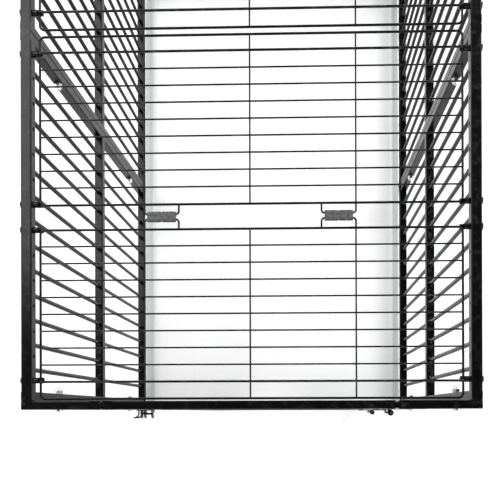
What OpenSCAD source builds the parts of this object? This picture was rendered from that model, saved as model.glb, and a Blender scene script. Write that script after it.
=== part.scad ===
// Flight cage for small birds on a rolling stand: bolt-together bar panels, a wire roof in
// two folding pairs, a front door, a slide-out tray and a wire shelf over four casters.
// +Z is up, the door faces -Y, and the origin is on the floor under the middle of the outline.

/* [Cage body] */
// Outer width of the cage, left to right
cage_w = 462; // [420:1:520]
// Outer length of the cage, front to back
cage_l = 763; // [700:1:900]
// Height of the barred body, without the stand
cage_h = 457; // [400:1:520]
// Height from the roof's edge down to the top face of the middle rail
mid_drop = 223.6; // [200:0.1:240]

/* [Frame tubes] */
// Width of the frame tubes, and the height of the rails
tube_w = 11; // [10:0.5:13]
// Thickness of the upright tubes of the side panels, along the wall
post_t = 9.6; // [7:0.1:11]
// Thickness of the front and rear walls
wall_t = 8.7; // [7:0.1:10]
// Radius along the edges of the tubes
tube_r = 1.2; // [0.8:0.1:1.6]

/* [Bars] */
// Diameter of the upright bars
bar_d = 5; // [3.5:0.1:5.5]
// Diameter of the holes that the bars pass through in the middle rails
bar_hole_d = 6; // [5:0.1:6.5]
// Gaps between bars along one side panel
side_gaps = 14; // [12:1:16]
// Distance from a side panel's posts to the middle of its first and last bars
bar_lead = 22.9; // [20:0.1:26]
// Gaps between bars across the rear wall
rear_gaps = 17; // [15:1:19]
// Gaps between bars across the door
door_gaps = 11; // [9:1:13]
// Gaps between bars across each fixed front panel
strip_gaps = 3; // [2:1:4]

/* [Front wall] */
// Width of the fixed panel on the left of the door
left_strip_w = 80.8; // [70:0.1:100]
// Width of the fixed panel on the right of the door
right_strip_w = 83.1; // [70:0.1:100]
// Gap between the door and the left panel
latch_gap = 1; // [0.6:0.1:3]
// Gap between the door and the right panel
hinge_gap = 3; // [2:0.1:5]
// Height of the front wall's lower edge above the body's base, over the tray
front_lift = 12.5; // [12:0.1:20]

/* [Roof] */
// Diameter of the roof's border wires
border_d = 2.4; // [2:0.1:3]
// Diameter of the roof's inner wires
wire_d = 1.7; // [1.4:0.1:2.2]
// Diameter of the wire of the folding loops
loop_d = 2; // [1.8:0.1:2.2]
// Wire spaces along each roof grid
grid_gaps = 10; // [8:1:12]
// Gap between the two grids of a folding pair, where the clips are
fold_gap = 25.2; // [20:0.1:30]
// Gap between the middle border wires of the front and rear pairs
seam_gap = 7.2; // [4:0.1:8]
// Gap between the last border wire's centre and the front or rear wall
end_gap = 2.4; // [2:0.1:4]
// Gap between the side border wire's centre and the side rails
rail_gap = 7; // [6:0.1:9]
// Distance between the two wire runs inside one clip
clip_runs = 5.3; // [5:0.1:6]
// Length of a crimped clip
clip_l = 28.5; // [24:0.5:30]
// Width of a crimped clip
clip_w = 10.7; // [10:0.1:12]

/* [Fasteners] */
// Diameter of the bolts between panels
bolt_d = 5; // [4:0.5:6]
// Diameter of the bolt heads
head_d = 9; // [8:0.5:10]
// Height of the bolt heads
head_h = 1.8; // [1.5:0.1:2.5]
// Drop of the upper bolts below the roof's edge
bolt_drop = 84; // [60:1:120]
// Rise of the lower bolts above the body's base
bolt_rise = 82; // [60:1:120]
// Diameter of the roof screws
screw_d = 3.5; // [3:0.1:4]
// Diameter of the row of screw holes through the top rails
rail_hole_d = 3.8; // [3.6:0.1:4.4]

/* [Door hardware] */
// Drop of the upper hinge below the roof's edge
hinge_drop = 124; // [90:1:160]
// Drop of the latch below the roof's edge
latch_drop = 171; // [140:1:200]
// Diameter of the hinge sockets
socket_d = 6.8; // [6:0.1:8]
// Diameter of the hinge pins
pin_d = 3.2; // [2.8:0.1:3.6]
// How far the latch stands out from the front wall
latch_proud = 11; // [10:0.5:14]

/* [Tray] */
// Height of the tray
tray_h = 30; // [26:1:34]
// Thickness of the tray
tray_t = 2; // [1.5:0.1:3]

/* [Stand] */
// Height of the stand, from the floor to the body's base
stand_h = 914; // [700:1:1000]
// Width of the square legs
leg_w = 20; // [18:1:25]
// Wall thickness of the legs
leg_wall = 1.5; // [1:0.1:2]
// Height of the upper side rails
upper_rail_h = 22; // [21:1:30]
// Height of the lower rails' underside above the floor
lower_z = 180; // [150:1:260]

/* [Casters] */
// Diameter of the wheels
wheel_d = 50; // [45:1:55]
// Width of the wheels
wheel_w = 16; // [14:1:18]
// Height of the legs' lower end plugs above the floor
caster_h = 65; // [62:1:70]
// Distance from the swivel axis to the axle
trail = 15; // [12:1:17]

/* [Hidden] */

$fn = 32;
LEFT = -1;
RIGHT = 1;
FRONT = -1;
REAR = 1;
eps = 1;                // how far a cut runs past the face it opens
run_gap = 0.1;          // running clearance on a diameter
slip = 0.3;             // clearance between pieces that slide past each other
clearance = 0.4;        // extra diameter of a hole that a bolt, screw or peg goes through
almost = 0.05;          // flat left on the ends of a rounded section

// Heights
z_bot = stand_h;
z_top = stand_h + cage_h;
z_mid = z_top - mid_drop - tube_w;
z_roof = z_top - tube_w / 2;
z_front = z_bot + front_lift;

// Plan: the bolt heads at the rear and the latch at the front are both inside the outline
front_y = -cage_l / 2 + (latch_proud - head_h) / 2;
rear_y = front_y + cage_l;
seam_y = (front_y + rear_y) / 2;
side_x = cage_w / 2 - tube_w / 2;
inner_x = cage_w / 2 - tube_w;
function wall_y(end) = end == FRONT ? front_y : rear_y;

// Side panels
panel_l = cage_l / 2 - wall_t;
bar_pitch = (panel_l - 2 * post_t - 2 * bar_lead) / (side_gaps - 2);
clamp_gaps = [0, floor(side_gaps / 2) - 1, floor(side_gaps / 2), side_gaps - 1];
function panel_start(end) = end == FRONT ? front_y + wall_t : seam_y;
function bar_y(end, k) = panel_start(end) + post_t + bar_lead + (k - 1) * bar_pitch;
function hole_y(end, k) =
    k == 0 ? bar_y(end, 1) - bar_lead / 2 :
    k == side_gaps - 1 ? bar_y(end, k) + bar_lead / 2 :
    bar_y(end, k + 0.5);
peg_d = 6;
peg_l = 12;

// Front wall
left_x = -cage_w / 2 + left_strip_w;
right_x = cage_w / 2 - right_strip_w;
door_x0 = left_x + latch_gap;
door_x1 = right_x - hinge_gap;

// Roof
roof_x = inner_x - rail_gap;
grid_l = (cage_l / 2 - wall_t - end_gap - seam_gap / 2 - fold_gap) / 2;
grid_pitch = grid_l / grid_gaps;
roof_corner = 5;
loop_out = (fold_gap - clip_runs) / 2;
loop_x0 = 72;
loop_x1 = roof_x / 2;
loop_r = 3;
weld = 0.35;            // how far crossing wires sink into each other
clip_x = (loop_x0 + loop_x1) / 2;
clip_t = 4.2;
crimp_d = 2;            // the nick that the crimping tool leaves in each edge of a clip
function grid_outer(end) = wall_y(end) - end * (wall_t + end_gap);
function grid_middle(end) = seam_y + end * seam_gap / 2;
function fold_y(end) = (grid_outer(end) + grid_middle(end)) / 2;

// Door hardware
hinge_out = socket_d / 2 + 0.9;
hinge_x = right_x + tube_w - 1.3;
hinge_y = front_y - hinge_out;
socket_h = 12;
strap_t = 1.5;          // hinge strap, and its clearance over the fixed panel
strap_gap = 0.5;
hinge_zs = [z_top - hinge_drop, z_front + hinge_drop];
latch_z = z_top - latch_drop;
latch_y = front_y - 5.5;
latch_rod_d = 4;
ear_t = 1.5;
ear_h = 11;
keeper_x = left_x - 2.6;

// Tray and its runners
tray_z = z_bot + tube_w - tray_h;
tray_x = inner_x - 1.7;
tray_y0 = front_y + 0.4;
tray_y1 = rear_y - wall_t - 1;
tray_r = 8;
runner_t = 1.2;
runner_ledge = 14;
grip_w = 90;
grip_h = 12;

// Stand
leg_x = cage_w / 2 - leg_w / 2;
leg_top = z_bot - upper_rail_h;
plug_flange = 3;
leg_z = caster_h + plug_flange;
leg_in = leg_w - 2 * leg_wall;
spigot_w = leg_in - 2 * slip;
spigot_l = 42;
upper_cross_z = leg_top - leg_w;
cross_l = cage_w - 2 * leg_w;
cap_t = 1.2;
stand_screw_d = 4;
stand_head_d = 8;
stand_head_h = 1.6;
pilot_l = 16;           // depth of the holes that the stand's screws bite in
screw_shift = 5;        // crossing screws in one leg pass this far above or below its middle
function leg_y(end) = wall_y(end) - end * leg_w / 2;

// Casters
stem_d = 10;
stem_l = 30;
axle_d = 5;
wheel_r = wheel_d / 2;
cheek_t = 2;
fork_back = 9;          // how far the fork reaches behind the swivel axis
bridge_t = 2.5;         // plate between the cheeks
race_d = 20;            // bearing cup under the leg
race_h = 5;
axle_head = [7.4, 1];   // diameter and height of the axle's riveted heads
cheek_x = wheel_w / 2 + 0.6;
brake_y = 14;           // brake pivot, from the axle
brake_z = 27;
brake_d = 3;
lever_lift = 28;
lever_l = 24;
lever_t = 2.2;
lever_press = 20;
neck_x = cheek_x - 1.1;
tread_x = cheek_x + 1.5;
tread_y = 8;
tread = [[-neck_x, 0], [neck_x, 0], [neck_x, tread_y], [tread_x, tread_y], [tread_x, lever_l - 4],
    [tread_x - 4, lever_l], [4 - tread_x, lever_l], [-tread_x, lever_l - 4], [-tread_x, tread_y],
    [-neck_x, tread_y]];
lobe_d = 3;
lobe_w = 11;
lobe_out = norm([brake_y, brake_z]) - wheel_r - 0.4 - lobe_d / 2;
lobe_a = atan2(-brake_z, -brake_y) + lever_press;

black = [0.05, 0.05, 0.055];
dark = [0.16, 0.16, 0.17];
zinc = [0.72, 0.72, 0.74];
white = [0.93, 0.93, 0.92];
rubber = [0.09, 0.09, 0.09];

// ---- Shared shapes ----

// Section of a frame tube, with rounded edges
module section(w, h, r) {
    square([w - 2 * r, h], center = true);
    square([w, h - 2 * r], center = true);
    for (sx = [-1, 1], sy = [-1, 1])
        translate([sx * (w / 2 - r), sy * (h / 2 - r)]) circle(r);
}

// Tubes by their centre line: the size is given in the order of the row's axes
module tube_x(x0, x1, y, z, ty, tz, r = tube_r)
    translate([x0, y, z]) rotate([90, 0, 90]) linear_extrude(x1 - x0) section(ty, tz, r);
module tube_y(y0, y1, x, z, tx, tz, r = tube_r)
    translate([x, y1, z]) rotate([90, 0, 0]) linear_extrude(y1 - y0) section(tx, tz, r);
module tube_z(z0, z1, x, y, tx, ty, r = tube_r)
    translate([x, y, z0]) linear_extrude(z1 - z0) section(tx, ty, r);

module rod_x(x0, x1, y, z, d)
    translate([x0, y, z]) rotate([0, 90, 0]) cylinder(d = d, h = x1 - x0);
module rod_y(y0, y1, x, z, d)
    translate([x, y0, z]) rotate([-90, 0, 0]) cylinder(d = d, h = y1 - y0);
module rod_z(z0, z1, x, y, d)
    translate([x, y, z0]) cylinder(d = d, h = z1 - z0);

// A quarter bend in a wire that lies flat, from angle a round its centre
module bend(x, y, z, r, d, a)
    translate([x, y, z]) rotate([0, 0, a]) rotate_extrude(angle = 90) translate([r, 0]) circle(d / 2);

// ---- Barred panels ----

// Side panel: side is LEFT or RIGHT, end is FRONT or REAR
module side_panel(side, end) {
    x = side * side_x;
    y0 = panel_start(end);
    y1 = y0 + panel_l;
    color(black) {
        difference() {
            union() {
                for (z = [z_bot, z_mid, z_top - tube_w])
                    tube_y(y0 + post_t - tube_r, y1 - post_t + tube_r, x, z + tube_w / 2, tube_w, tube_w);
                for (y = [y0, y1 - post_t])
                    tube_z(z_bot, z_top, x, y + post_t / 2, tube_w, post_t);
            }
            for (k = [0 : side_gaps - 1])
                rod_x(x - tube_w / 2 - eps, x + tube_w / 2 + eps, hole_y(end, k), z_roof, rail_hole_d);
            for (k = [1 : side_gaps - 1])
                rod_z(z_mid - eps, z_mid + tube_w + eps, x, bar_y(end, k), bar_hole_d);
            for (z = [z_bot + bolt_rise, z_top - bolt_drop])
                rod_y(y0 - eps, y1 + eps, x, z, bolt_d + clearance);
        }
        for (k = [1 : side_gaps - 1])
            rod_z(z_bot + tube_w / 2, z_top - tube_w / 2, x, bar_y(end, k), bar_d);
        for (y = [y0 + post_t / 2, y1 - post_t / 2])
            rod_z(z_bot - peg_l, z_bot + tube_w / 2, x, y, peg_d);
    }
}

// Panel of the front or rear wall, from x0 to x1 and from z0 up. corners lists the posts
// (LEFT, RIGHT) that the panel bolts go through
module end_panel(x0, x1, end, z0, gaps, corners) {
    y = wall_y(end) - end * wall_t / 2;
    xa = x0 + tube_w;
    xb = x1 - tube_w;
    pitch = (xb - xa) / gaps;
    color(black) {
        difference() {
            union() {
                for (z = [z0, z_mid, z_top - tube_w])
                    tube_x(xa - tube_r, xb + tube_r, y, z + tube_w / 2, wall_t, tube_w);
                for (x = [x0 + tube_w / 2, x1 - tube_w / 2])
                    tube_z(z0, z_top, x, y, tube_w, wall_t);
            }
            for (k = [1 : gaps - 1])
                rod_z(z_mid - eps, z_mid + tube_w + eps, xa + k * pitch, y, bar_hole_d);
            for (c = corners, z = [z_bot + bolt_rise, z_top - bolt_drop])
                rod_y(y - wall_t, y + wall_t, c * side_x, z, bolt_d + clearance);
        }
        for (k = [1 : gaps - 1])
            rod_z(z0 + tube_w / 2, z_top - tube_w / 2, xa + k * pitch, y, bar_d);
    }
}

module side_panel_left_front() side_panel(LEFT, FRONT);
module side_panel_left_rear() side_panel(LEFT, REAR);
module side_panel_right_front() side_panel(RIGHT, FRONT);
module side_panel_right_rear() side_panel(RIGHT, REAR);
module front_panel_left() end_panel(-cage_w / 2, left_x, FRONT, z_front, strip_gaps, [LEFT]);
module front_panel_right() end_panel(right_x, cage_w / 2, FRONT, z_front, strip_gaps, [RIGHT]);
module door() end_panel(door_x0, door_x1, FRONT, z_front, door_gaps, []);
module rear_panel() end_panel(-cage_w / 2, cage_w / 2, REAR, z_bot, rear_gaps, [LEFT, RIGHT]);

// ---- Roof ----

// One wire grid from its clamped border at y_out forwards to its folding border at y_in
module roof_grid(y_out, y_in) {
    c = roof_corner;
    color(black) {
        for (s = [LEFT, RIGHT]) {
            rod_y(y_in + c, y_out - c, s * roof_x, z_roof, border_d);
            rod_y(y_in - weld, y_out + weld, s * loop_x1, z_roof, wire_d);
            fold_loop(s, y_in);
        }
        rod_y(y_in - weld, y_out + weld, 0, z_roof, wire_d);
        for (y = [y_in, y_out])
            rod_x(-roof_x + c, roof_x - c, y, z_roof, border_d);
        bend(roof_x - c, y_out - c, z_roof, c, border_d, 0);
        bend(-roof_x + c, y_out - c, z_roof, c, border_d, 90);
        bend(-roof_x + c, y_in + c, z_roof, c, border_d, 180);
        bend(roof_x - c, y_in + c, z_roof, c, border_d, 270);
        for (k = [1 : grid_gaps - 1]) {
            d = k == 1 ? border_d : wire_d;
            z = z_roof + (border_d + d) / 2 - weld;
            rod_x(-roof_x - weld, roof_x + weld, y_out - k * grid_pitch, z, d);
        }
    }
}

// The loop on a grid's folding border that a clip wraps
module fold_loop(s, y_in) {
    xa = min(s * loop_x0, s * loop_x1);
    xb = max(s * loop_x0, s * loop_x1);
    turn = y_in - loop_out + loop_r;
    for (x = [xa, xb])
        rod_y(turn, y_in + weld, x, z_roof, loop_d);
    rod_x(xa + loop_r, xb - loop_r, y_in - loop_out, z_roof, loop_d);
    bend(xb - loop_r, turn, z_roof, loop_r, loop_d, 270);
    bend(xa + loop_r, turn, z_roof, loop_r, loop_d, 180);
}

// Turns its children half round the middle of the cage, from the rear to the front or back
module half_turn() translate([0, 2 * seam_y, 0]) rotate([0, 0, 180]) children();

// Crimped sheet clips that join the two grids of one pair
module roof_clips(end) {
    color(dark)
        for (s = [LEFT, RIGHT]) {
            x = s * clip_x;
            y = fold_y(end);
            difference() {
                tube_x(x - clip_l / 2, x + clip_l / 2, y, z_roof, clip_w, clip_t, clip_t / 2 - almost);
                for (run = [-1, 1])
                    rod_x(x - clip_l, x + clip_l, y + run * clip_runs / 2, z_roof, loop_d + run_gap);
                for (edge = [-1, 1])
                    rod_z(z_roof - clip_t, z_roof + clip_t, x, y + edge * clip_w / 2, crimp_d);
            }
        }
}

module roof_grid_front_inner() roof_grid(grid_middle(FRONT), fold_y(FRONT) + fold_gap / 2);
module roof_grid_rear_outer() roof_grid(grid_outer(REAR), fold_y(REAR) + fold_gap / 2);
module roof_grid_front_outer() half_turn() roof_grid_rear_outer();
module roof_grid_rear_inner() half_turn() roof_grid_front_inner();
module roof_clips_front() roof_clips(FRONT);
module roof_clips_rear() roof_clips(REAR);

// Every place where a hook clamps the roof: [side, end, gap]
clamps = [for (s = [LEFT, RIGHT], e = [FRONT, REAR], k = clamp_gaps) [s, e, k]];
hook_d = 6;
hook_tip = roof_x - 3;
hook_top = 0.4;
hook_bore = 4.5;
hook_flat = 1.7;        // how far a hook is cut down behind the border wire
roof_head_d = 7;
roof_head_h = 1.6;
wire_r = (border_d + run_gap) / 2;

// Hooks that stand off the top rails. Those near the ends of a pair cup the side border wire,
// and those at the folding corners are flat tongues under the wire
module roof_hooks() {
    color(black)
        for (c = clamps) {
            y = hole_y(c[1], c[2]);
            top = c[2] == 0 || c[2] == side_gaps - 1 ? hook_top : -wire_r;
            mirror([c[0] == LEFT ? 1 : 0, 0, 0])
                difference() {
                    rod_x(hook_tip, inner_x, y, z_roof, hook_d);
                    translate([hook_tip - eps, y - hook_d, z_roof + top])
                        cube([roof_x + hook_flat - hook_tip + eps, 2 * hook_d, hook_d]);
                    translate([roof_x - wire_r, y - hook_d, z_roof])
                        cube([2 * wire_r, 2 * hook_d, hook_d]);
                    rod_y(y - hook_d, y + hook_d, roof_x, z_roof, 2 * wire_r);
                    rod_x(inner_x - hook_bore, inner_x + eps, y, z_roof, screw_d + run_gap);
                }
        }
}

module roof_screws() {
    color(black)
        for (c = clamps)
            mirror([c[0] == LEFT ? 1 : 0, 0, 0]) {
                rod_x(inner_x - hook_bore + 0.5, cage_w / 2 + eps, hole_y(c[1], c[2]), z_roof, screw_d);
                rod_x(cage_w / 2, cage_w / 2 + roof_head_h, hole_y(c[1], c[2]), z_roof, roof_head_d);
            }
}

// ---- Panel bolts ----

// Every bolt between two posts: [y of the head's seat, direction of the shank]
bolt_seats = [[front_y, 1], [seam_y + post_t, -1], [rear_y, -1]];
function grip(seat) = seat[0] == seam_y + post_t ? 2 * post_t : wall_t + post_t;
bolt_zs = [z_bot + bolt_rise, z_top - bolt_drop];
nut_h = 4;
nut_af = 8;
dome_d = 7;

// Puts its children at each bolt's seat, with +Z along the shank
module at_bolts()
    for (s = [LEFT, RIGHT], seat = bolt_seats, z = bolt_zs)
        translate([s * side_x, seat[0], z]) rotate([seat[1] == 1 ? -90 : 90, 0, 0]) {
            $grip = grip(seat);
            children();
        }

module panel_bolts() {
    color(zinc)
        at_bolts() {
            translate([0, 0, -head_h]) cylinder(d = head_d, h = head_h);
            cylinder(d = bolt_d, h = $grip + nut_h);
        }
}

module cap_nuts() {
    color(zinc)
        at_bolts()
            translate([0, 0, $grip])
                difference() {
                    union() {
                        cylinder(d = nut_af / cos(30), h = nut_h, $fn = 6);
                        translate([0, 0, nut_h]) intersection() {
                            sphere(d = dome_d);
                            cylinder(d = dome_d + eps, h = dome_d);
                        }
                    }
                    translate([0, 0, -eps]) cylinder(d = bolt_d + run_gap, h = nut_h + eps + 1);
                }
}

// ---- Door hardware ----

// Sockets on the door: each barrel hangs on a strap that is welded to the door's post
module hinge_sockets() {
    strap = [[door_x1 - 8, front_y], [door_x1 - 1, front_y], [door_x1 - 1, front_y - strap_gap],
        [hinge_x + strap_t / 2, front_y - strap_gap], [hinge_x + strap_t / 2, hinge_y],
        [hinge_x - strap_t / 2, hinge_y], [hinge_x - strap_t / 2, front_y - strap_t],
        [door_x1 - 8, front_y - strap_t]];
    color(black)
        for (z = hinge_zs)
            difference() {
                union() {
                    rod_z(z - socket_h, z, hinge_x, hinge_y, socket_d);
                    translate([0, 0, z - socket_h + 1]) linear_extrude(socket_h - 2) polygon(strap);
                }
                rod_z(z - socket_h - eps, z + eps, hinge_x, hinge_y, pin_d + run_gap);
            }
}

// Bent pins welded to the right front panel: out from the panel, across, then up the socket
module hinge_pins() {
    arm_x = right_x + 4.5;
    color(zinc)
        for (z = hinge_zs) {
            arm_z = z - socket_h - slip - pin_d / 2;
            rod_y(hinge_y, front_y, arm_x, arm_z, pin_d);
            translate([arm_x, hinge_y, arm_z]) sphere(d = pin_d);
            rod_x(arm_x, hinge_x, hinge_y, arm_z, pin_d);
            translate([hinge_x, hinge_y, arm_z]) sphere(d = pin_d);
            rod_z(arm_z, z + 1.2, hinge_x, hinge_y, pin_d);
        }
}

module ear(x, d)
    difference() {
        union() {
            translate([x - ear_t / 2, latch_y, latch_z - ear_h / 2])
                cube([ear_t, front_y - latch_y, ear_h]);
            rod_x(x - ear_t / 2, x + ear_t / 2, latch_y, latch_z, ear_h);
        }
        rod_x(x - ear_t, x + ear_t, latch_y, latch_z, d);
        translate([x - ear_t, front_y - 0.01, latch_z - ear_h]) cube([2 * ear_t, ear_h, 2 * ear_h]);
    }

guide_x = door_x0 + tube_w / 2;
guide_half = 4.6;
bolt_tip = keeper_x + ear_t / 2 + 0.5;
bolt_end = guide_x + guide_half + ear_t;
handle_d = 3;
handle_l = 17;
handle_x = guide_x + guide_half - ear_t / 2 - handle_d / 2 - 0.15;

// Guide on the door: a plate with two ears that the bolt slides through
module latch_guide() {
    color(black) {
        translate([guide_x - tube_w / 2 + 0.5, front_y - 1, latch_z - 11]) cube([tube_w - 1, 1, 22]);
        for (s = [-1, 1])
            ear(guide_x + s * guide_half, latch_rod_d + run_gap);
    }
}

// Sliding bolt: a round rod with a handle that hangs between the guide's ears
module latch_bolt() {
    color(zinc) {
        rod_x(bolt_tip, bolt_end, latch_y, latch_z, latch_rod_d);
        rod_z(latch_z - handle_l, latch_z, handle_x, latch_y, handle_d);
        translate([handle_x, latch_y, latch_z - handle_l]) sphere(d = 2 * handle_d);
    }
}

// Keeper on the left front panel: an ear with a curved guard of round wire
module latch_keeper() {
    guard_d = 2;
    guard_r = 6;
    guard_y = front_y - latch_proud + guard_d / 2 + guard_r;
    color(black) {
        difference() {
            union() {
                translate([keeper_x - 5, front_y - 1, latch_z - 9]) cube([7, 1, 18]);
                ear(keeper_x, latch_rod_d + run_gap);
            }
            rod_x(keeper_x - ear_t, keeper_x + ear_t, latch_y, latch_z, latch_rod_d + run_gap);
        }
        for (s = [-1, 1]) {
            z = latch_z + s * 8;
            rod_y(guard_y, front_y - 0.5, keeper_x - 2, z, guard_d);
            bend(keeper_x - 2 - guard_r, guard_y, z, guard_r, guard_d, 270);
        }
        rod_z(latch_z - 8, latch_z + 8, keeper_x - 2 - guard_r, guard_y - guard_r, guard_d);
        for (s = [-1, 1])
            translate([keeper_x - 2 - guard_r, guard_y - guard_r, latch_z + s * 8]) sphere(d = guard_d);
    }
}

// ---- Tray ----

module tray() {
    l = tray_y1 - tray_y0;
    yc = (tray_y0 + tray_y1) / 2;
    color(white)
        difference() {
            translate([0, yc, tray_z]) linear_extrude(tray_h) section(2 * tray_x, l, tray_r);
            translate([0, yc, tray_z + tray_t])
                linear_extrude(tray_h) section(2 * (tray_x - tray_t), l - 2 * tray_t, tray_r - tray_t);
            translate([0, tray_y0, z_bot - 1])
                rotate([90, 0, 0]) linear_extrude(4 * tray_t, center = true)
                    section(grip_w, grip_h, grip_h / 2 - almost);
        }
}

// Runner under one edge of the tray: a flat strip welded to the upper side rail
module tray_runner(side) {
    z = tray_z - slip - runner_t;
    y0 = front_y + 2;
    y1 = rear_y - 2;
    color(black)
        translate([side * (inner_x - runner_ledge / 2) - runner_ledge / 2, y0, z])
            cube([runner_ledge, y1 - y0, runner_t]);
}

module tray_runner_left() tray_runner(LEFT);
module tray_runner_right() tray_runner(RIGHT);

// ---- Stand ----

function at_screws_z(upper) = upper ? upper_cross_z + leg_w / 2 : lower_z + leg_w / 2 + screw_shift;
side_screw_z = lower_z + leg_w / 2 - screw_shift;

// Upper side rail: it sits on the legs, takes the pegs of the side panels, and has a
// square spigot down into each leg
module upper_rail(side) {
    x = side * side_x;
    color(black)
        difference() {
            union() {
                tube_y(front_y + cap_t, rear_y - cap_t, x, z_bot - upper_rail_h / 2,
                    tube_w, upper_rail_h);
                for (e = [FRONT, REAR])
                    tube_z(leg_top - spigot_l, leg_top + 2, side * leg_x, leg_y(e), spigot_w, spigot_w);
            }
            for (e = [FRONT, REAR], y = [post_t / 2, panel_l - post_t / 2])
                rod_z(z_bot - peg_l - 1, z_bot + eps, x, panel_start(e) + y, peg_d + clearance);
            for (e = [FRONT, REAR])
                rod_x(side * leg_x - leg_w, side * leg_x + leg_w, leg_y(e), at_screws_z(true),
                    stand_screw_d + clearance);
            translate([side * (inner_x - leg_w / 2) - leg_w / 2, front_y, leg_top])
                cube([leg_w, cage_l, upper_rail_h]);
        }
}

// Rail across the stand between the left and right legs
module cross_rail(end, z, screw_z) {
    color(black)
        difference() {
            tube_x(-cross_l / 2, cross_l / 2, leg_y(end), z + leg_w / 2, leg_w, leg_w);
            for (s = [LEFT, RIGHT])
                rod_x(s * cross_l / 2 - pilot_l, s * cross_l / 2 + pilot_l, leg_y(end), screw_z,
                    stand_screw_d + run_gap);
        }
}

// Rail along the stand between the front and rear legs
module lower_rail(side) {
    color(black)
        difference() {
            tube_y(front_y + leg_w, rear_y - leg_w, side * leg_x, lower_z + leg_w / 2, leg_w, leg_w);
            for (e = [FRONT, REAR]) {
                y = leg_y(e) - e * leg_w / 2;
                rod_y(y - pilot_l, y + pilot_l, side * leg_x, side_screw_z, stand_screw_d + run_gap);
            }
        }
}

module leg(side, end) {
    x = side * leg_x;
    y = leg_y(end);
    color(black)
        difference() {
            tube_z(leg_z, leg_top, x, y, leg_w, leg_w);
            tube_z(leg_z - eps, leg_top + eps, x, y, leg_in, leg_in);
            for (upper = [true, false])
                rod_x(x - leg_w, x + leg_w, y, at_screws_z(upper), stand_screw_d + clearance);
            rod_y(y - leg_w, y + leg_w, x, side_screw_z, stand_screw_d + clearance);
        }
}

module upper_rail_left() upper_rail(LEFT);
module upper_rail_right() upper_rail(RIGHT);
module upper_cross_front() cross_rail(FRONT, upper_cross_z, at_screws_z(true));
module upper_cross_rear() cross_rail(REAR, upper_cross_z, at_screws_z(true));
module lower_cross_front() cross_rail(FRONT, lower_z, at_screws_z(false));
module lower_cross_rear() cross_rail(REAR, lower_z, at_screws_z(false));
module lower_rail_left() lower_rail(LEFT);
module lower_rail_right() lower_rail(RIGHT);
module leg_front_left() leg(LEFT, FRONT);
module leg_front_right() leg(RIGHT, FRONT);
module leg_rear_left() leg(LEFT, REAR);
module leg_rear_right() leg(RIGHT, REAR);

// Screws that draw the rails against the legs
module stand_screws() {
    reach = leg_w + pilot_l - 2;
    color(zinc) {
        for (s = [LEFT, RIGHT], e = [FRONT, REAR], upper = [true, false])
            mirror([s == LEFT ? 1 : 0, 0, 0]) {
                rod_x(cage_w / 2 - reach, cage_w / 2, leg_y(e), at_screws_z(upper), stand_screw_d);
                rod_x(cage_w / 2, cage_w / 2 + stand_head_h, leg_y(e), at_screws_z(upper), stand_head_d);
            }
        for (s = [LEFT, RIGHT]) {
            rod_y(front_y, front_y + reach, s * leg_x, side_screw_z, stand_screw_d);
            rod_y(front_y - stand_head_h, front_y, s * leg_x, side_screw_z, stand_head_d);
            rod_y(rear_y - reach, rear_y, s * leg_x, side_screw_z, stand_screw_d);
            rod_y(rear_y, rear_y + stand_head_h, s * leg_x, side_screw_z, stand_head_d);
        }
    }
}

// Plastic caps on the ends of the upper side rails
module rail_end_caps() {
    color(dark)
        for (s = [LEFT, RIGHT], e = [FRONT, REAR])
            tube_y(wall_y(e) - (e == REAR ? cap_t : 0), wall_y(e) + (e == FRONT ? cap_t : 0),
                s * side_x, z_bot - upper_rail_h / 2, tube_w, upper_rail_h);
}

shelf_x = cross_l / 2 - 3;
shelf_d = 5;
shelf_wire_d = 2.8;
shelf_z = lower_z + leg_w + shelf_d / 2;
shelf_wire_z = shelf_z + (shelf_d + shelf_wire_d) / 2 - weld;
shelf_gaps = 29;

// Wire shelf: it lies on the lower cross rails
module shelf() {
    y0 = front_y + 5;
    y1 = rear_y - 5;
    c = 12;
    pitch = (y1 - y0) / shelf_gaps;
    color(black) {
        for (s = [LEFT, RIGHT])
            rod_y(y0 + c, y1 - c, s * shelf_x, shelf_z, shelf_d);
        for (y = [y0, y1])
            rod_x(-shelf_x + c, shelf_x - c, y, shelf_z, shelf_d);
        bend(shelf_x - c, y1 - c, shelf_z, c, shelf_d, 0);
        bend(-shelf_x + c, y1 - c, shelf_z, c, shelf_d, 90);
        bend(-shelf_x + c, y0 + c, shelf_z, c, shelf_d, 180);
        bend(shelf_x - c, y0 + c, shelf_z, c, shelf_d, 270);
        for (k = [-1, 0, 1])
            rod_y(y0, y1, k * shelf_x / 2, shelf_z, shelf_d - 1);
        for (k = [1 : shelf_gaps - 1])
            rod_x(-shelf_x, shelf_x, y0 + k * pitch, shelf_wire_z, shelf_wire_d);
    }
}

// ---- Casters ----

// Plastic plugs in the lower ends of the legs
module caster_sockets() {
    color(dark)
        for (s = [LEFT, RIGHT], e = [FRONT, REAR])
            difference() {
                union() {
                    tube_z(caster_h, leg_z, s * leg_x, leg_y(e), leg_w, leg_w);
                    tube_z(leg_z - eps, caster_h + 36, s * leg_x, leg_y(e), spigot_w, spigot_w);
                }
                rod_z(caster_h - eps, caster_h + stem_l + 1, s * leg_x, leg_y(e), stem_d + run_gap);
            }
}

// Puts its children at a caster, with the swivel axis on Z and the trail along +Y
module at_caster(side, end)
    translate([side * leg_x, leg_y(end), 0]) rotate([0, 0, end == FRONT ? 0 : 180]) children();

// Outline of a fork cheek, seen along X: Y then Z
cheek = [[-fork_back, 60], [2 - fork_back, 48], [trail - 6, wheel_r - 3],
    [trail + 6, wheel_r - 3], [trail + 8, wheel_r + 4],
    [trail + brake_y + 5, wheel_r + brake_z - 3], [trail + brake_y + 5, wheel_r + brake_z + 4],
    [trail + 2, 60]];

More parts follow.
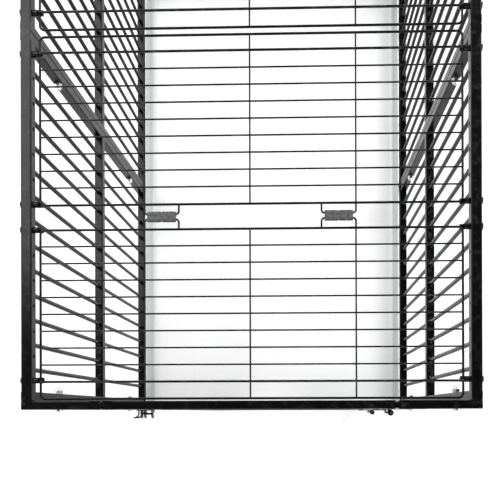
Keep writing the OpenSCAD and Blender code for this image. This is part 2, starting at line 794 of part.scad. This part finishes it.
module caster_fork(side, end) {
    head = caster_h - 0.5;
    color(zinc)
        at_caster(side, end)
            difference() {
                union() {
                    for (s = [-1, 1])
                        translate([s * (cheek_x + cheek_t / 2) - cheek_t / 2, 0, 0])
                            rotate([90, 0, 90]) linear_extrude(cheek_t) polygon(cheek);
                    translate([-cheek_x - cheek_t, -fork_back, head - race_h - bridge_t + 1])
                        cube([2 * (cheek_x + cheek_t), trail + fork_back + 2, bridge_t]);
                    translate([0, 0, head - race_h]) cylinder(d = race_d, h = race_h);
                    rod_z(head - 1, head + stem_l, 0, 0, stem_d);
                }
                rod_x(-leg_w, leg_w, trail, wheel_r, axle_d + run_gap);
                if (end == FRONT)
                    rod_x(-leg_w, leg_w, trail + brake_y, wheel_r + brake_z, brake_d + run_gap);
            }
}

module caster_axle(side, end) {
    half = cheek_x + cheek_t;
    color(zinc)
        at_caster(side, end) {
            rod_x(-half, half, trail, wheel_r, axle_d);
            for (x = [-half - axle_head[1], half])
                rod_x(x, x + axle_head[1], trail, wheel_r, axle_head[0]);
        }
}

// Wheel: a round-edged tyre on a dished hub, as one ring turned round the axle
module caster_wheel(side, end) {
    w = wheel_w / 2;
    color(rubber)
        at_caster(side, end)
            translate([0, trail, wheel_r]) rotate([0, 90, 0])
                difference() {
                    union() {
                        cylinder(r = wheel_r - 2.5, h = wheel_w, center = true);
                        cylinder(r = wheel_r, h = wheel_w - 5, center = true);
                        for (s = [-1, 1])
                            translate([0, 0, s * (w - 2.5)]) rotate_extrude()
                                translate([wheel_r - 2.5, 0]) circle(2.5);
                    }
                    for (s = [-1, 1])
                        translate([0, 0, s * w]) difference() {
                            cylinder(r = wheel_r - 7, h = 8, center = true);
                            cylinder(r = 7, h = 10, center = true);
                        }
                    cylinder(d = axle_d + run_gap, h = 2 * wheel_w, center = true);
                }
}

// Brake lever: a barrel on the fork's rear pin, with a tread plate and a lobe that meets the
// tyre when the lever is pressed down by lever_press degrees
module brake_lever(side, end) {
    color(dark)
        at_caster(side, end)
            translate([0, trail + brake_y, wheel_r + brake_z]) {
                rod_x(-cheek_x - cheek_t, cheek_x + cheek_t, 0, 0, brake_d);
                rod_x(-cheek_x + 0.5, cheek_x - 0.5, 0, 0, 6);
                rotate([lever_lift, 0, 0])
                    translate([0, 0, 0.6]) linear_extrude(lever_t) polygon(tread);
                rod_x(-lobe_w / 2, lobe_w / 2, lobe_out * cos(lobe_a), lobe_out * sin(lobe_a), lobe_d);
            }
}

module caster_fork_front_left() caster_fork(LEFT, FRONT);
module caster_fork_front_right() caster_fork(RIGHT, FRONT);
module caster_fork_rear_left() caster_fork(LEFT, REAR);
module caster_fork_rear_right() caster_fork(RIGHT, REAR);
module caster_axle_front_left() caster_axle(LEFT, FRONT);
module caster_axle_front_right() caster_axle(RIGHT, FRONT);
module caster_axle_rear_left() caster_axle(LEFT, REAR);
module caster_axle_rear_right() caster_axle(RIGHT, REAR);
module caster_wheel_front_left() caster_wheel(LEFT, FRONT);
module caster_wheel_front_right() caster_wheel(RIGHT, FRONT);
module caster_wheel_rear_left() caster_wheel(LEFT, REAR);
module caster_wheel_rear_right() caster_wheel(RIGHT, REAR);
module brake_lever_front_left() brake_lever(LEFT, FRONT);
module brake_lever_front_right() brake_lever(RIGHT, FRONT);

side_panel_left_front();
side_panel_left_rear();
side_panel_right_front();
side_panel_right_rear();
front_panel_left();
front_panel_right();
door();
rear_panel();
roof_grid_front_outer();
roof_grid_front_inner();
roof_grid_rear_inner();
roof_grid_rear_outer();
roof_clips_front();
roof_clips_rear();
roof_hooks();
roof_screws();
panel_bolts();
cap_nuts();
hinge_sockets();
hinge_pins();
latch_guide();
latch_bolt();
latch_keeper();
tray();
tray_runner_left();
tray_runner_right();
upper_rail_left();
upper_rail_right();
upper_cross_front();
upper_cross_rear();
leg_front_left();
leg_front_right();
leg_rear_left();
leg_rear_right();
lower_rail_left();
lower_rail_right();
lower_cross_front();
lower_cross_rear();
shelf();
stand_screws();
rail_end_caps();
caster_sockets();
caster_fork_front_left();
caster_fork_front_right();
caster_fork_rear_left();
caster_fork_rear_right();
caster_axle_front_left();
caster_axle_front_right();
caster_axle_rear_left();
caster_axle_rear_right();
caster_wheel_front_left();
caster_wheel_front_right();
caster_wheel_rear_left();
caster_wheel_rear_right();
brake_lever_front_left();
brake_lever_front_right();
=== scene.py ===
"""Looks for the flight cage on its rolling stand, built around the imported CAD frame."""

import math

import bmesh
import bpy
from mathutils import Matrix, Vector


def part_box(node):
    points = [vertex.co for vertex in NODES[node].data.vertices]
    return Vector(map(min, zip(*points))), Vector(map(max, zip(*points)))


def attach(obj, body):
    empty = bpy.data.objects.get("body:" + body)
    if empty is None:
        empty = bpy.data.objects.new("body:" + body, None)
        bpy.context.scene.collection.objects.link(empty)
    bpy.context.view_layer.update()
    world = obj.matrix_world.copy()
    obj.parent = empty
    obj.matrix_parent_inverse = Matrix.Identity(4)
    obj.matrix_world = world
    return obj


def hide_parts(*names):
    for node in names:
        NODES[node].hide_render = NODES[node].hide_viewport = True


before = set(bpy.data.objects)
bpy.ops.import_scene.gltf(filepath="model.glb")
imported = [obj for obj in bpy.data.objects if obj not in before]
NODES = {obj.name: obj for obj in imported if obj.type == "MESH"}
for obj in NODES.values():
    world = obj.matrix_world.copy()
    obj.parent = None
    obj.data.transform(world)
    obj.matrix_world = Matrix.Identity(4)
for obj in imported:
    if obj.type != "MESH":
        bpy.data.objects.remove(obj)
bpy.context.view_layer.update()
MM = 0.001


def show(name, data):
    """Adds an object with this data to the scene."""
    made = bpy.data.objects.new(name, data)
    bpy.context.scene.collection.objects.link(made)
    return made


# ---------------------------------------------------------------- camera

CAMERA_AT = (0.0526, -0.3785, 1.9902)
CAMERA_TURN = (0.028, 1.276, -0.153)  # degrees about X, Y and Z

camera_data = bpy.data.cameras.new("camera")
camera_data.lens = 44.74
camera_data.sensor_width = 36
camera_data.shift_x = -0.0778
camera_data.shift_y = 0.3209
camera_data.clip_start = 0.01
camera_data.clip_end = 50
camera = show("camera", camera_data)
turn = Matrix.Identity(4)
for angle, axis in zip(CAMERA_TURN, "XYZ"):
    turn = turn @ Matrix.Rotation(math.radians(angle), 4, axis)
camera.matrix_world = Matrix.Translation(CAMERA_AT) @ turn
bpy.context.scene.camera = camera
bpy.context.scene.view_settings.view_transform = "Standard"

# ---------------------------------------------------------------- materials

NOISE_RANGE = (0.3, 0.7)  # where most of a noise's values lie
WEAR = (0.52, 0.62)  # pointiness at which an edge starts to wear, and is bare
GRAIN_DEPTH = 0.0002  # of the finest bump in every finish, in metres
PEEL_DEPTH = 0.0004  # of the orange peel in a powder coat, in metres
PAINTED_SHADE_SPAN = (-0.02, -0.14)  # metres outward: from no painted shade on an inner wall to the full painted shade


def map_range(tree, source, low, high, to_low, to_high, curve="LINEAR"):
    """source, stretched from low..high to to_low..to_high and kept in that range."""
    node = tree.nodes.new("ShaderNodeMapRange")
    node.interpolation_type = curve
    node.inputs["From Min"].default_value = low
    node.inputs["From Max"].default_value = high
    node.inputs["To Min"].default_value = to_low
    node.inputs["To Max"].default_value = to_high
    tree.links.new(source, node.inputs["Value"])
    return node.outputs["Result"]


def product(tree, a, b):
    """The product of two value sockets."""
    node = tree.nodes.new("ShaderNodeMath")
    node.operation = "MULTIPLY"
    tree.links.new(a, node.inputs[0])
    tree.links.new(b, node.inputs[1])
    return node.outputs[0]


class Nodes:
    """A small helper that wires up one node material."""

    def __init__(self, name):
        self.material = bpy.data.materials.new(name)
        self.material.use_nodes = True
        self.tree = self.material.node_tree
        self.shader = self.tree.nodes["Principled BSDF"]
        self.coordinate = self.add("ShaderNodeTexCoord").outputs["Object"]

    def add(self, kind, **values):
        node = self.tree.nodes.new(kind)
        for key, value in values.items():
            setattr(node, key, value)
        return node

    def link(self, source, target):
        self.tree.links.new(source, target)

    def noise(self, scale, detail=2.0, roughness=0.5, stretch=None):
        """Noise of 0 to 1; scale is in cells per metre."""
        node = self.add("ShaderNodeTexNoise")
        node.inputs["Scale"].default_value = scale
        node.inputs["Detail"].default_value = detail
        node.inputs["Roughness"].default_value = roughness
        source = self.coordinate
        if stretch:
            mapping = self.add("ShaderNodeMapping")
            mapping.inputs["Scale"].default_value = stretch
            self.link(source, mapping.inputs["Vector"])
            source = mapping.outputs["Vector"]
        self.link(source, node.inputs["Vector"])
        return node.outputs["Fac"]

    def spread(self, source, low, high, to_low=0.0, to_high=1.0):
        """map_range in this material."""
        return map_range(self.tree, source, low, high, to_low, to_high)

    def times(self, a, b):
        """product in this material."""
        return product(self.tree, a, b)

    def mix(self, fac, a, b):
        """Colour a where fac is 0, colour b where it is 1. Each is a colour or a socket."""
        node = self.add("ShaderNodeMix", data_type="RGBA")
        self.link(fac, node.inputs[0])
        for socket, value in ((node.inputs[6], a), (node.inputs[7], b)):
            if isinstance(value, bpy.types.NodeSocket):
                self.link(value, socket)
            else:
                socket.default_value = (*value, 1)
        return node.outputs[2]

    def edges(self):
        """1 on worn outer edges, 0 on flat faces and in hollows."""
        point = self.add("ShaderNodeNewGeometry").outputs["Pointiness"]
        return self.spread(point, *WEAR)

    def outward(self):
        """How far from the upright axis, in metres, along the face's own normal."""
        flat = self.add("ShaderNodeVectorMath", operation="MULTIPLY")
        flat.inputs[1].default_value = (1, 1, 0)
        self.link(self.coordinate, flat.inputs[0])
        along = self.add("ShaderNodeVectorMath", operation="DOT_PRODUCT")
        self.link(flat.outputs["Vector"], along.inputs[0])
        self.link(self.add("ShaderNodeNewGeometry").outputs["Normal"], along.inputs[1])
        return along.outputs["Value"]

    def bump(self, *layers):
        """layers are (height socket, strength, distance in metres)."""
        normal = None
        for height, strength, distance in layers:
            node = self.add("ShaderNodeBump")
            node.inputs["Strength"].default_value = strength
            node.inputs["Distance"].default_value = distance
            self.link(height, node.inputs["Height"])
            if normal is not None:
                self.link(normal, node.inputs["Normal"])
            normal = node.outputs["Normal"]
        self.link(normal, self.shader.inputs["Normal"])

    def finish(self, colour, patches, rough, metallic=0.0, specular=0.5):
        """Ends the material. Roughness goes over the range rough as the noise patches do."""
        self.link(colour, self.shader.inputs["Base Color"])
        roughness = self.spread(patches, *NOISE_RANGE, *rough)
        self.link(roughness, self.shader.inputs["Roughness"])
        self.shader.inputs["Metallic"].default_value = metallic
        self.shader.inputs["Specular IOR Level"].default_value = specular
        return self.material


def powder_coat(name, colour, worn, rough):
    """Semi-gloss powder coat: orange peel, faint mottling, rubbed edges."""
    n = Nodes(name)
    mottle = n.spread(n.noise(22, 3), 0.35, 0.65)
    lighter = tuple(c * 1.5 for c in colour)
    body = n.mix(mottle, colour, lighter)
    rubbed = n.times(n.edges(), n.spread(n.noise(130, 4, 0.65), 0.5, 0.7))
    body = n.mix(rubbed, body, worn)
    grain = n.noise(900)
    peel = n.noise(160)
    n.bump((grain, 0.22, GRAIN_DEPTH), (peel, 0.1, PEEL_DEPTH))
    return n.finish(body, n.noise(60, 4), rough, specular=0.15)


def zinc_plate(name):
    """Bright zinc plate with soft passivation blotches."""
    n = Nodes(name)
    blotch = n.spread(n.noise(180, 4, 0.6), 0.35, 0.68)
    body = n.mix(blotch, (0.78, 0.78, 0.76), (0.56, 0.57, 0.58))
    n.bump((n.noise(700, 3, 0.6), 0.12, GRAIN_DEPTH))
    return n.finish(body, n.noise(260, 3), (0.2, 0.38), metallic=1.0)


def crimped_steel(name):
    """Dark rolled steel with drawn lines and lighter edges."""
    n = Nodes(name)
    lines = n.noise(500, 3, 0.6, stretch=(0.08, 1, 1))
    body = n.mix(n.spread(lines, 0.35, 0.7), (0.028, 0.028, 0.03), (0.04, 0.04, 0.041))
    rubbed = n.times(n.edges(), n.spread(n.noise(400), 0.4, 0.6))
    body = n.mix(rubbed, body, (0.08, 0.08, 0.08))
    n.bump((lines, 0.05, GRAIN_DEPTH))
    return n.finish(body, n.noise(150, 3), (0.5, 0.62), specular=0.3)


def moulded(name, colour, shade, rough, grain, strength, specular=0.5, painted_wall_shade=None):
    """Moulded plastic or rubber: sparked grain, flow shading and scuffs, and optionally
    painted shade on the inner walls.

    grain is the scale of the bump and strength its strength; painted_wall_shade is a darker
    colour painted as shade on the walls that face the piece's own middle.
    """
    n = Nodes(name)
    flow = n.spread(n.noise(7, 3), 0.35, 0.65)
    body = n.mix(flow, colour, shade)
    scuffs = n.spread(n.noise(45, 5, 0.7, stretch=(1, 0.12, 1)), 0.62, 0.75, 0.0, 0.35)
    scuffed = tuple(c * 0.82 + 0.02 for c in colour)
    body = n.mix(scuffs, body, scuffed)
    if painted_wall_shade:
        # painted shade: walls facing the piece's middle are mixed towards a darker grey,
        # standing in for the shade they get under top light
        body = n.mix(n.spread(n.outward(), *PAINTED_SHADE_SPAN), body, painted_wall_shade)
    n.bump((n.noise(grain, 3, 0.6), strength, GRAIN_DEPTH))
    return n.finish(body, n.noise(35, 4), rough, specular=specular)


COAT = powder_coat(
    "powder_coat_black", (0.0018, 0.0018, 0.002), (0.025, 0.025, 0.025), (0.18, 0.27)
)
WIRE = powder_coat(
    "powder_coat_wire", (0.0035, 0.0035, 0.0039), (0.04, 0.04, 0.04), (0.24, 0.34)
)
CLIP = crimped_steel("crimped_steel")
ZINC = zinc_plate("zinc_plate")
# The tray's walls that face its middle get a painted shade, a darker grey in their colour.
WHITE = moulded(
    "tray_plastic", (0.92, 0.92, 0.91), (0.89, 0.9, 0.9), (0.3, 0.42), 1200, 0.08,
    painted_wall_shade=(0.43, 0.44, 0.44),
)
DARK = moulded(
    "black_plastic", (0.016, 0.016, 0.017), (0.026, 0.026, 0.026), (0.42, 0.58), 1500, 0.3
)
RUBBER = moulded(
    "tyre_rubber", (0.05, 0.05, 0.052), (0.08, 0.08, 0.08), (0.62, 0.8), 1100, 0.4,
    specular=0.3,
)

FINISH = {
    "powder_black": COAT,
    "dark_steel": CLIP,
    "zinc": ZINC,
    "white_plastic": WHITE,
    "black_plastic": DARK,
    "rubber": RUBBER,
}
WIRE_NODES = ("roof_grid", "shelf")
for name, node in NODES.items():
    for place in node.material_slots:
        finish = FINISH[place.material.name.split(".")[0]]
        place.material = WIRE if name.startswith(WIRE_NODES) else finish

# ---------------------------------------------------------------- pieces

SHARP = math.radians(35)  # a mesh edge that bends more than this is drawn sharp


def mesh_data(name, mesh):
    """Turns a bmesh into mesh data and frees it."""
    data = bpy.data.meshes.new(name)
    mesh.to_mesh(data)
    mesh.free()
    return data


def piece(name, mesh, material, body, slot, *replaced):
    """Adds a mesh piece that rides on a body and stands for the replaced nodes."""
    bmesh.ops.recalc_face_normals(mesh, faces=mesh.faces)
    for face in mesh.faces:
        face.smooth = True
    for edge in mesh.edges:
        if len(edge.link_faces) == 2 and edge.calc_face_angle() > SHARP:
            edge.smooth = False
    data = mesh_data(name, mesh)
    data.materials.append(material)
    made = show(name, data)
    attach(made, body)
    if replaced:
        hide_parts(*replaced)
    return made


def rounded(half_x, half_y, radius, z, centre=(0, 0)):
    """Points of a rounded rectangle at height z."""
    steps = 8
    points = []
    for quarter in range(4):
        sx = (1, -1, -1, 1)[quarter]
        sy = (1, 1, -1, -1)[quarter]
        for i in range(steps + 1):
            a = math.radians(90 * (quarter + i / steps))
            points.append((
                centre[0] + sx * (half_x - radius) + radius * math.cos(a),
                centre[1] + sy * (half_y - radius) + radius * math.sin(a),
                z,
            ))
    return points


def loft(mesh, rings, ring_shaped=False):
    """Skins rings that have the same number of points; capped, or closed on itself."""
    rows = [[mesh.verts.new(p) for p in ring] for ring in rings]
    pairs = list(zip(rows, rows[1:])) + ([(rows[-1], rows[0])] if ring_shaped else [])
    for a, b in pairs:
        for i in range(len(a)):
            j = (i + 1) % len(a)
            mesh.faces.new((a[i], a[j], b[j], b[i]))
    if not ring_shaped:
        mesh.faces.new(list(reversed(rows[0])))
        mesh.faces.new(rows[-1])


def arc(centre, radius, start, end, steps):
    """Points of an arc in a plane, in mm; angles in degrees."""
    out = []
    for i in range(steps + 1):
        a = math.radians(start + (end - start) * i / steps)
        out.append((centre[0] + radius * math.cos(a), centre[1] + radius * math.sin(a)))
    return out


# Tray: a moulded pan with drafted walls, a rolled rim and generous inside fillets.
# All sizes are in mm, and the profile is (inset from the outline, height above the
# underside), from the underside over the rim to the floor inside.
low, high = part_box("tray")
HEIGHT = (high.z - low.z) / MM
FLOOR_T = 2
CORNER = 15  # radius of the outline at the corners, which shrinks with the inset
CORNER_MIN = 3
FOOT_IN, FOOT_R = 5.4, 4  # where the flat underside ends, and the round edge there
RIM_R = 1.3
NECK_OUT = (0.7, HEIGHT - 3.6)  # the wall just below the rim, outside and inside
NECK_IN = (2.8, HEIGHT - 3.4)
WALL_IN, FILLET = 3.4, 9  # the inner wall's foot, and the fillet to the floor
tray_profile = [
    *arc((FOOT_IN, FOOT_R), FOOT_R, 270, 180, 6),
    NECK_OUT,
    *arc((RIM_R, HEIGHT - RIM_R), RIM_R, 200, 20, 10),
    NECK_IN,
    *arc((WALL_IN + FILLET, FLOOR_T + FILLET), FILLET, 180, 270, 10),
]
centre = ((low.x + high.x) / 2, (low.y + high.y) / 2)
half = ((high.x - low.x) / 2, (high.y - low.y) / 2)
pan = bmesh.new()
loft(pan, [
    rounded(
        half[0] - inset * MM, half[1] - inset * MM, max(CORNER - inset, CORNER_MIN) * MM,
        low.z + z * MM, centre,
    )
    for inset, z in tray_profile
])
tray = piece("tray_pan", pan, WHITE, "tray", "white_plastic", "tray")

# The finger slot in the tray's front wall, in metres
SLOT_Z = 0.913
SLOT_HALF = (0.045, 0.006)
SLOT_CORNER = 0.0059
SLOT_REACH = (-0.01, 0.012)  # how far the cutter goes before and behind the wall's face
slot_mesh = bmesh.new()
outline = rounded(*SLOT_HALF, SLOT_CORNER, 0)
loft(slot_mesh, [
    [(x, low.y + reach, SLOT_Z + y) for x, y, _ in outline] for reach in SLOT_REACH
])
bmesh.ops.recalc_face_normals(slot_mesh, faces=slot_mesh.faces)
cutter = show("slot_cutter", mesh_data("slot_cutter", slot_mesh))
cut = tray.modifiers.new("slot", "BOOLEAN")
cut.object = cutter
cut.solver = "EXACT"
bpy.context.view_layer.update()
graph = bpy.context.evaluated_depsgraph_get()
finished = bpy.data.meshes.new_from_object(tray.evaluated_get(graph))
tray.modifiers.clear()
tray.data = finished
bpy.data.objects.remove(cutter)


def lathe(mesh, profile, turns, at):
    """Turns a closed profile of (x, radius), in mm, round the X axis through at."""
    rings = []
    for i in range(turns):
        a = 2 * math.pi * i / turns
        rings.append([
            (at.x + x * MM, at.y + r * math.sin(a) * MM, at.z + r * math.cos(a) * MM)
            for x, r in profile
        ])
    loft(mesh, rings, ring_shaped=True)


def both_sides(half_profile):
    """A profile and its mirror image across the wheel's middle plane."""
    return half_profile + [(-x, r) for x, r in reversed(half_profile)]


# Caster wheels: a grooved tyre on a hub with ribs on both faces. The profiles are in mm,
# (distance from the wheel's middle plane, radius).
TYRE = both_sides(
    [(0.35, 24.6), (0.7, 25), (2.6, 24.95), (2.9, 24.3), (3.5, 24.3), (3.8, 24.85)]
    + arc((5.3, 22.3), 2.5, 75, 0, 6)
    + [(7.9, 20.6), (7.5, 18.9), (6.6, 18.1)]
)
HUB = both_sides(
    [(6.9, 18.0), (7.2, 17.6), (7.2, 16.7), (6.8, 16.4), (3.4, 15.9), (2.8, 15.3), (2.6, 8.2),
     (3.2, 7.4), (7.4, 6.9), (7.9, 6.4), (7.9, 3.2), (7.5, 2.6)]
)
TYRE_TURNS = 64
HUB_TURNS = 48
RIBS = 8
RIB_SIZE = (3.6 * MM, 1.5 * MM, 10.2 * MM)
RIB_OFFSET = 4.1 * MM  # from the wheel's middle plane
RIB_RADIUS = 11.6 * MM
for end in ("front", "rear"):
    for side in ("left", "right"):
        name = f"caster_wheel_{end}_{side}"
        low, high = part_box(name)
        at = (low + high) / 2
        body = f"wheel_{end}_{side}"
        tyre = bmesh.new()
        lathe(tyre, TYRE, TYRE_TURNS, at)
        piece(f"tyre_{end}_{side}", tyre, RUBBER, body, "rubber", name)
        hub = bmesh.new()
        lathe(hub, HUB, HUB_TURNS, at)
        for k in range(RIBS):
            spin = Matrix.Rotation(2 * math.pi * k / RIBS, 3, "X")
            for offset in (-RIB_OFFSET, RIB_OFFSET):
                rib = bmesh.ops.create_cube(hub, size=1)["verts"]
                bmesh.ops.scale(hub, vec=RIB_SIZE, verts=rib)
                bmesh.ops.translate(hub, vec=(offset, 0, RIB_RADIUS), verts=rib)
                bmesh.ops.rotate(hub, cent=(0, 0, 0), matrix=spin, verts=rib)
                bmesh.ops.translate(hub, vec=at, verts=rib)
        piece(f"hub_{end}_{side}", hub, DARK, body, "black_plastic")

# ---------------------------------------------------------------- stage

FLOOR_HALF = 6  # metres
floor_mesh = bmesh.new()
bmesh.ops.create_grid(floor_mesh, x_segments=1, y_segments=1, size=FLOOR_HALF)
floor = show("floor", mesh_data("floor", floor_mesh))
paper = Nodes("floor_paper")
clouds = paper.spread(paper.noise(0.8), *NOISE_RANGE)
tone = paper.mix(clouds, (0.78, 0.78, 0.78), (0.76, 0.76, 0.76))
floor.data.materials.append(paper.finish(tone, paper.noise(3), (0.8, 0.9), specular=0.1))
paper.shader.inputs["Emission Color"].default_value = (1, 1, 1, 1)
paper.shader.inputs["Emission Strength"].default_value = 0.08

# A white studio all round, with a dark ceiling so that the tops of the rails stay black
# and a dimmer horizon. Heights are the Z of the direction, from 0 (level) to 1 (up).
STUDIO = 2.7
CEILING = 0.02
CEILING_FROM, CEILING_TO = 0.45, 0.8
HORIZON = 0.4  # share of the studio's light at the horizon
HORIZON_TO = 0.3
world = bpy.data.worlds.new("world")
bpy.context.scene.world = world
world.use_nodes = True
sky = world.node_tree
direction = sky.nodes.new("ShaderNodeTexCoord").outputs["Generated"]
split = sky.nodes.new("ShaderNodeSeparateXYZ")
sky.links.new(direction, split.inputs[0])
up = split.outputs["Z"]
fade = map_range(sky, up, CEILING_FROM, CEILING_TO, STUDIO, CEILING, "SMOOTHSTEP")
rise = map_range(sky, up, 0.0, HORIZON_TO, HORIZON, 1.0)
sky.links.new(product(sky, fade, rise), sky.nodes["Background"].inputs["Strength"])
sky.nodes["Background"].inputs["Color"].default_value = (1, 1, 1, 1)


def softbox(name, at, look_at, width, height, watts):
    """Adds a rectangular light that faces the point look_at."""
    light = bpy.data.lights.new(name, "AREA")
    light.shape = "RECTANGLE"
    light.size = width
    light.size_y = height
    light.energy = watts
    made = show(name, light)
    made.location = at
    made.rotation_euler = (Vector(look_at) - Vector(at)).to_track_quat("-Z", "Y").to_euler()


softbox("key_left", (-1.175, 0.95, 2.97), (-1.175, 0.95, 0), 1.05, 1.66, 41)
softbox("fill_right", (2.6, -1.0, 2.2), (0, 0, 0.9), 1.5, 1.5, 24)
softbox("back_right", (1.9, 1.6, 2.9), (0, 0, 0.9), 1.3, 1.3, 56)
